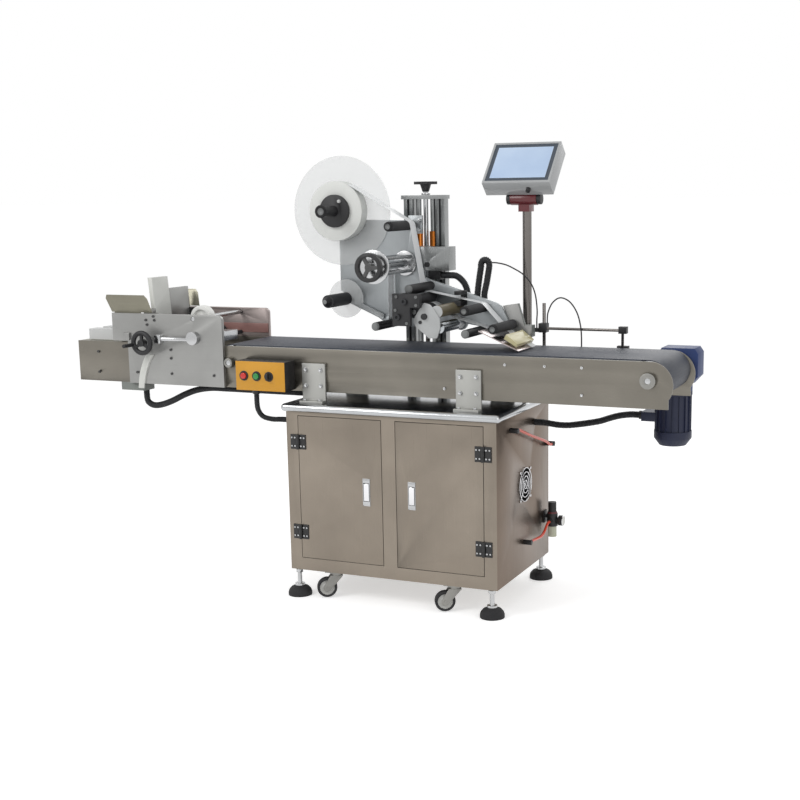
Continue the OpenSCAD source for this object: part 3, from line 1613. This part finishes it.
// Peel plate: thin sloping blade with its carrier, the brush and the ribbed block behind it
blade_nose = 15;
carrier_shares = [[0.90, 0.045], [0.955, 0.10], [0.985, 0.09], [0.99, 0], [0.94, 0]];
brush_shares = [[1.010, 0.073], [1.073, 0.010], [1.082, 0.033], [1.022, 0.108]];
brush_pin_share = [1.0445, 0.061];
rib_block_shares = [[0.907, 0.295], [0.987, 0.316], [1.03, 0.094], [0.955, 0.10]];
arm_shares = [0.941, 1.06, 0.045, 0.28];
brush_in = 8;
arm_d = 36;
module peel_plate() {
  color([0.85, 0.84, 0.84]) {
    upright(blade_y, blade_y + blade_w)
      translate(tip_at)
        rotate(180 - blade_slope)
          polygon([[0, -tip_r], [blade_nose, -blade_t / 2], [blade_len, -blade_t / 2],
            [blade_len, blade_t / 2], [blade_nose, blade_t / 2], [0, tip_r]]);
    bar_y(tip_at, blade_y, blade_y + blade_w, tip_r);
  }
  color(alu) {
    upright(blade_y + blade_w, plate_y)
      polygon([for (s = carrier_shares) on_plate(s)]);
    upright(plate_back, plate_back + arm_d / 2)
      polygon([for (s = rib_block_shares) on_plate(s)]);
    block(on_plate([arm_shares[0], 0])[0], on_plate([arm_shares[1], 0])[0], plate_back,
      plate_back + arm_d, on_plate([0, arm_shares[2]])[1], on_plate([0, arm_shares[3] / 2])[1]);
  }
  color(white)
    upright(blade_y + brush_in, plate_y - brush_in)
      polygon([for (s = brush_shares) on_plate(s)]);
  color(bright)
    bar_y(on_plate(brush_pin_share), plate_y - brush_in - cut, plate_back + arm_d / 2, rod_r * 0.7);
}

// The web: straight runs between rollers and arcs round them. Each entry is centre, radius, side.
web_stops = [
  [spindle_at, roll_r, 1], [upper_at, guide_r, 1], [turn_at, bar_r, -1],
  [outfeed_at, guide_r, 1], [peel_at, guide_r, -1], [tip_at, tip_r, 1],
  [below_at, bar_r, -1], [silver_at, silver_r, -1], [feed_at, feed_r, -1],
  [lower_at, bar_r, 1], [rewind_at, spool_r, 1]
];
function stop_r(i) = web_stops[i][1] + web_gap;
function lean(i) =
  let (d = web_stops[i + 1][0] - web_stops[i][0],
    a = atan2(d[1], d[0]),
    q = (web_stops[i][2] * stop_r(i) - web_stops[i + 1][2] * stop_r(i + 1)) / norm(d))
  a + acos(q);
function touch(i, angle) = web_stops[i][0] + web_stops[i][2] * stop_r(i) * [cos(angle), sin(angle)];
function arc_points(i, a0, a1) =
  let (turn = (web_stops[i][2] > 0) ? -((a0 - a1 + 720) % 360) : (a1 - a0 + 720) % 360,
    n = max(1, ceil(abs(turn) / 12)))
  [for (k = [0 : n]) touch(i, a0 + turn * k / n)];
web_last = len(web_stops) - 1;
web_path = concat(
  [touch(0, lean(0))],
  [for (i = [1 : web_last - 1]) each arc_points(i, lean(i - 1), lean(i))],
  [touch(web_last, lean(web_last - 1))]);

web_overlap = 0.05;
module label_web() {
  color([0.9, 0.92, 0.92])
    upright(web_y, web_y + label_w)
      for (i = [0 : len(web_path) - 2]) {
        d = web_path[i + 1] - web_path[i];
        if (norm(d) > web_overlap / 5)
          translate(web_path[i])
            rotate(atan2(d[1], d[0]))
              translate([-web_overlap, -web_t / 2])
                square([norm(d) + 2 * web_overlap, web_t]);
      }
}

mandrel_r = 40;
disc_t = 3;
flange_r = 58;
flange_t = 14;
spindle_len = 98;
spindle_r = 19;
hub_h = 24;
module label_roll() {
  color(white)
    difference() {
      bar_y(spindle_at, web_y, web_y + label_w, roll_r - web_t);
      bar_y(spindle_at, web_y - cut, web_y + label_w + cut, mandrel_r + near_gap);
    }
}

module unwind_spindle() {
  disc_y = web_y + label_w + cut;
  color([0.92, 0.94, 0.94])
    bar_y(spindle_at, disc_y, disc_y + disc_t, disc_r);
  color(black) {
    bar_y(spindle_at, web_y - flange_t, web_y, flange_r);
    bar_y(spindle_at, web_y, plate_y - cut, mandrel_r);
    bar_y(spindle_at, web_y - flange_t - spindle_len, web_y - flange_t, spindle_r);
    bar_y(spindle_at, plate_y - cut, plate_back + side_gap, axle_pin_r);
    bar_y(spindle_at, plate_back + side_gap, plate_back + hub_h, mandrel_r * 0.75);
  }
  color(white)
    bar_y(spindle_at + flange_r * [0.41, 0.59], web_y - 1.5 * flange_t, web_y - flange_t, rod_r);
}

// Rewinder: four rods between two flanges, with a black ring in front
ring_r = 50;
ring_h = 16;
ring_hole = 36;
spool_in = 50;
module rewind_spool() {
  front = plate_y - rewind_len;
  flange_y = front + spool_in;
  color(bright) {
    bar_y(rewind_at, flange_y - cap_t, flange_y, flange_r);
    bar_y(rewind_at, flange_y, plate_y - brush_in, flange_t);
    bar_y(rewind_at, plate_y - 2 * cut, plate_back + side_gap, axle_pin_r);
    for (a = [45 : 90 : 315])
      bar_y(rewind_at + (spool_r - rod_r - 2 * cut) * [cos(a), sin(a)], flange_y, plate_y - brush_in, rod_r);
    bar_y(rewind_at, plate_y - brush_in, plate_y - 2 * cut, spool_r);
    bar_y(rewind_at, front + ring_h, flange_y - cap_t, rod_r * 2);
  }
  color(black) {
    difference() {
      bar_y(rewind_at, front, front + ring_h, ring_r);
      bar_y(rewind_at, front - cut, front + ring_h + cut, ring_hole);
    }
    for (a = [0, 120, 240])
      translate([rewind_at[0], front + ring_h / 4, rewind_at[1]])
        rotate([0, a, 0])
          translate([ring_r / 5, 0, -rod_r])
            cube([ring_r * 0.6, ring_h * 0.6, 2 * rod_r]);
    bar_y(rewind_at, front + ring_h / 4, front + ring_h, flange_t);
    bar_y(rewind_at, plate_back + side_gap, plate_back + hub_h, rod_r * 1.8);
  }
}

arm_t = 8;
arm_r = 10;
dancer_disc_r = 70;
dancer_len = 100;
module dancer_arm() {
  y1 = plate_y - side_gap;
  color(alu) {
    upright(y1 - arm_t, y1)
      hull() {
        translate(dancer_at)
          circle(r = arm_r, $fn = 32);
        translate(dancer_pivot_at)
          circle(r = arm_r, $fn = 32);
      }
    bar_y(dancer_pivot_at, y1 - cut, plate_back + stepper_gap, axle_pin_r);
    bar_y(dancer_pivot_at, plate_back + side_gap, plate_back + stepper_gap, arm_r * 1.2);
  }
  color([0.92, 0.94, 0.94])
    bar_y(dancer_at, y1 - arm_t - disc_t, y1 - arm_t, dancer_disc_r);
  color(white)
    translate([dancer_at[0], web_y - dancer_len, dancer_at[1]])
      rotate([90, 0, 0])
        cylinder(r1 = dancer_r * 0.8, r2 = dancer_r / 3, h = hub_h);
  color(black)
    bar_y(dancer_at, web_y - dancer_len, y1 - arm_t - disc_t, dancer_r);
}

module idler(at, r = guide_r) {
  color(black)
    bar_y(at, guide_front, plate_y - side_gap, r);
  color(bright) {
    bar_y(at, guide_front - cap_t, guide_front, r * 0.75);
    bar_y(at, plate_y - side_gap, plate_back - side_gap, axle_pin_r);
  }
}

module upper_idler() { idler(upper_at); }
module outfeed_idler() { idler(outfeed_at); }
module peel_idler() { idler(peel_at); }
module feed_roller() {
  color([0.15, 0.15, 0.16])
    bar_y(feed_at, guide_front, plate_y - side_gap, feed_r);
  color(bright)
    bar_y(feed_at, guide_front - cap_t, plate_back + stepper_gap - side_gap, axle_pin_r);
}
module pinch_roller() {
  color(black)
    bar_y(pinch_at, guide_front, plate_y - side_gap, pinch_r);
  color(bright)
    bar_y(pinch_at, guide_front - cap_t, plate_back + side_gap, axle_pin_r);
}

// Screen on its post: a clamping drum on the post holds the housing's pin
base_h = 10;
neck_in = 10;
neck_half = 20;
knob_t = 14;
bezel = 14;
frame_w = 8;
frame_low = 10;
glass_t = 3;
module screen_post() {
  color(steel) {
    bar_z(post_x, post_y, table_top_z + base_h, post_top, post_r);
    bar_z(post_x, post_y, table_top_z, table_top_z + base_h, 2 * post_r);
  }
  color([0.3, 0.02, 0.05])
    difference() {
      union() {
        bar_x(post_x - drum_len / 2, post_x + drum_len / 2, screen_y, screen_pivot_z, drum_r);
        block(post_x - neck_half, post_x + neck_half, screen_y - neck_in, post_y + post_r,
          post_top - neck_in, post_top + pivot_up);
      }
      bar_x(post_x - drum_len / 2 - cut, post_x + drum_len / 2 + cut, screen_y, screen_pivot_z,
        pivot_r + run_fit);
    }
}

module on_screen() {
  translate([screen_x, screen_y, screen_pivot_z])
    rotate([-screen_lean, 0, 0])
      children();
}

module screen_box() {
  half_w = screen_w / 2;
  face = -screen_d - screen_back;
  end = drum_len / 2 + side_gap;
  inner_h = screen_h - frame_w - frame_low;
  color([0.6, 0.6, 0.61])
    on_screen()
      difference() {
        translate([-half_w, face, -screen_drop])
          cube([screen_w, screen_d, screen_h]);
        translate([-half_w + frame_w, face - cut, frame_low - screen_drop])
          cube([screen_w - 2 * frame_w, cut + glass_t, inner_h]);
      }
  color([0.45, 0.53, 0.66])
    on_screen()
      translate([-half_w + frame_w + bezel, face + glass_t * 0.6, frame_low - screen_drop + bezel])
        cube([screen_w - 2 * frame_w - 2 * bezel, glass_t * 0.4, inner_h - 2 * bezel]);
  color(black) {
    on_screen()
      translate([half_w / 3, face + screen_d / 2, -screen_drop - knob_t])
        cylinder(r = pivot_r, h = knob_t);
    bar_x(post_x - end - knob_t, post_x + end + knob_t, screen_y, screen_pivot_z, pivot_r);
    for (x = [post_x - end - knob_t, post_x + end]) {
      bar_x(x, x + knob_t, screen_y, screen_pivot_z, drum_r * 0.9);
      translate([x, screen_y, screen_pivot_z])
        rotate([-screen_lean, 0, 0])
          translate([0, -screen_back, 0])
            cube([knob_t, screen_back, drum_r * 0.9]);
    }
  }
}

// Product sensor on a rod stand
arm_h = 14;
eye_len = 90;
module sensor_stand() {
  top = rail_top + stand_h;
  foot_x = arm_end_x - arm_h / 2;
  back = stand_y + 2.3 * arm_h;
  color(steel) {
    bar_z(stand_x, stand_y + 1.43 * arm_h, rail_top - arm_up, top, stand_r);
    bar_x(stand_x, arm_end_x, stand_y + 0.71 * arm_h, arm_z, stand_r - cut);
    bar_z(foot_x, stand_y, rail_top + arm_h / 3, arm_z, stand_r - cut);
  }
  color(black) {
    block(stand_x - arm_h, stand_x + arm_h, stand_y - rail_t / 3, back, arm_z - arm_h, arm_z + arm_h * 9 / 7);
    block(foot_x - arm_h, foot_x + arm_h, stand_y - rail_t, stand_y + 1.3 * arm_h, arm_z - 0.7 * arm_h,
      arm_z + arm_h);
    block(foot_x - 1.4 * arm_h, foot_x + 1.4 * arm_h, rail_back - rail_t, stand_y + 1.3 * arm_h,
      rail_top, rail_top + 0.7 * arm_h);
    block(stand_x - arm_h, stand_x + arm_h, rail_back, back, rail_top - arm_up, rail_top - arm_up / 2);
    block(stand_x - eye_len, stand_x - arm_h, stand_y - 0.6 * arm_h, stand_y + 0.4 * arm_h,
      arm_z - 0.86 * arm_h, arm_z + 0.14 * arm_h);
    block(stand_x - eye_len - 1.2 * arm_h, stand_x - eye_len, stand_y - 0.86 * arm_h,
      stand_y + 0.86 * arm_h, arm_z - 1.14 * arm_h, arm_z + 0.71 * arm_h);
  }
}

// Conduits, sensor lead and air tubes. Their points follow the photographed routes.
feeder_route = [
  [-890, -165, 712], [-890, -165, 686], [-884, -165, 664], [-860, -163, 652], [-825, -160, 656],
  [-780, -156, 672], [-730, -152, 696], [-675, -150, 716], [-610, -150, 727], [-540, -150, 728],
  [-460, -150, 728], [-380, -150, 728], [-290, -150, 728], [-200, -150, 728]
];
box_route = [
  [-359, -240, 731], [-359, -240, 703], [-356, -238, 672], [-341, -230, 647], [-312, -217, 637],
  [-284, -207, 636], [-258, -205, 636], [-233, -205, 636]
];
motor_route = [
  [937, 179, 656], [909, 179, 656], [867, 176, 650], [832, 172, 640], [797, 168, 628], [754, 163, 619],
  [711, 158, 612], [683, 152, 609], [650, 144, 610], [599, 130, 618], [567, 130, 618]
];
head_route = [
  [235, 80, 1140], [283, 80, 1140], [312, 80, 1122], [328, 80, 1096], [334, 80, 1066],
  [335, 80, 1044], [340, 80, 1030], [351, 80, 1024], [362, 80, 1030], [367, 80, 1044],
  [369, 80, 1075], [375, 80, 1115], [384, 80, 1160], [387, 80, 1182], [400, 80, 1196],
  [413, 80, 1182], [411, 80, 1158], [405, 80, 1115], [396, 80, 1075], [396, 80, 1044]
];
lead_route = [
  [425.5, 80, 1186], [438, 81, 1186], [474, 86, 1179], [508, 92, 1163], [538, 98, 1143],
  [563, 104, 1112], [577, 108, 1073], [583, 109, 1021], [582, 108, 985], [582, 108, 958.4]
];
foot_lead_route = [
  [613, 131, 974], [613, 131, 990], [617, 130, 1014], [634, 127, 1046], [664, 121, 1064],
  [700, 114, 1052], [728, 110, 1016], [742, 109, 970], [746, 109, 925], [746, 109, 894]
];
air_upper_route = [
  [590, -109, 630], [590, -98, 630], [590, -60, 617], [590, 30, 587], [590, 120, 559], [590, 180, 540],
  [590, 215, 525], [590, 233, 518], [590, 244, 518]
];
air_lower_route = [
  [590, 23, 205], [590, 34, 205], [590, 70, 202], [591, 125, 199], [593, 152, 208], [595, 170, 224],
  [597, 186, 236], [597, 199, 236]
];

union_len = 36;
module hoses_and_cables() {
  end = feeder_route[len(feeder_route) - 1];
  color(black) {
    block(end[0], end[0] + union_len, end[1] - union_len / 2, end[1] + union_len / 2,
      table_top_z, rail_z + rib_h);
    ribbed_tube(feeder_route, conduit_r, 8);
    ribbed_tube(box_route, conduit_r - rib_h, 8);
    ribbed_tube(motor_route, conduit_r, 8);
    swept_tube(foot_lead_route, lead_r);
  }
  color([0.85, 0.15, 0.1]) {
    swept_tube(air_upper_route, tube_r, [0, 0, 1]);
    swept_tube(air_lower_route, tube_r, [0, 0, 1]);
  }
}

cabinet_shell();
table_top();
hinge_leaves();
caster_brackets();
fan_guard();
air_regulator();
electrical_panel();
front_rail();
rear_rail();
slider_bed();
conveyor_belt();
roller_bearings();
support_brackets();
machine_screws();
gearbox();
drive_motor();
feeder_front_plate();
feeder_rear_plate();
feed_belts();
hopper_guides();
control_box();
lift_frame();
screen_post();
sensor_stand();
hoses_and_cables();
left_door();
right_door();
left_latch();
right_latch();
levelling_feet();
left_caster_fork();
right_caster_fork();
left_caster_wheel();
right_caster_wheel();
rear_caster_wheels();
fan_rotor();
drive_roller();
tail_roller();
feeder_handwheel();
feeder_gate();
press_wheel();
red_button();
green_button();
selector_knob();
screen_box();
lift_screw();
head_carriage();
head_plate();
stepper_motor();
peel_plate();
label_web();
label_roll();
unwind_spindle();
rewind_spool();
dancer_arm();
feed_roller();
pinch_roller();
upper_idler();
outfeed_idler();
peel_idler();
